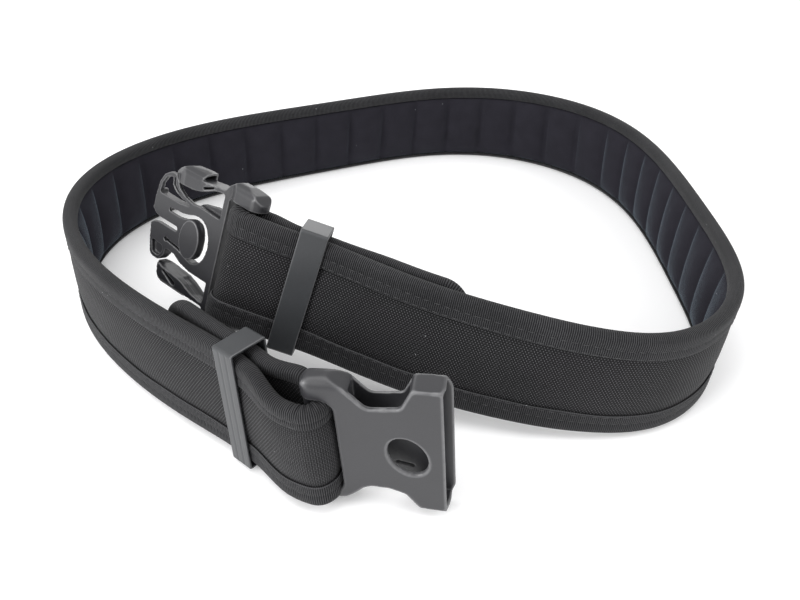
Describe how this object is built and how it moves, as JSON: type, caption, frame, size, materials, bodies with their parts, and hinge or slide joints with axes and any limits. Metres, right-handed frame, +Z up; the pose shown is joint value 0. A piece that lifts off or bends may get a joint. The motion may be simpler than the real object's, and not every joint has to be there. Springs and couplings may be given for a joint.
{
  "type": "padded duty belt",
  "caption": "Padded nylon duty belt standing open as a loop, with its side release buckle undone and both ends doubled back through moulded keepers.",
  "frame": {"origin": "middle of the footprint on the floor, on the line the lower edge stands on", "axes": "+Z up across the belt's width, +X to the viewer's right, +Y away from the open front of the belt"},
  "size_m": [0.3124, 0.2927, 0.0809],
  "materials": {
    "padded_nylon": "matt black ballistic weave",
    "ribbed_tape": "matt black, ribbed across the tape",
    "pile_lining": "matt blue-black pile",
    "buckle_plastic": "satin moulded",
    "keeper_plastic": "satin moulded"
  },
  "bodies": {
    "root": {"web_body": "padded_nylon", "edge_binding": "ribbed_tape", "lining": "pile_lining", "buckle_socket": "buckle_plastic", "buckle_plug": "buckle_plastic", "keeper_plug_side": "keeper_plastic", "keeper_socket_side": "keeper_plastic"}
  },
  "joints": []
}
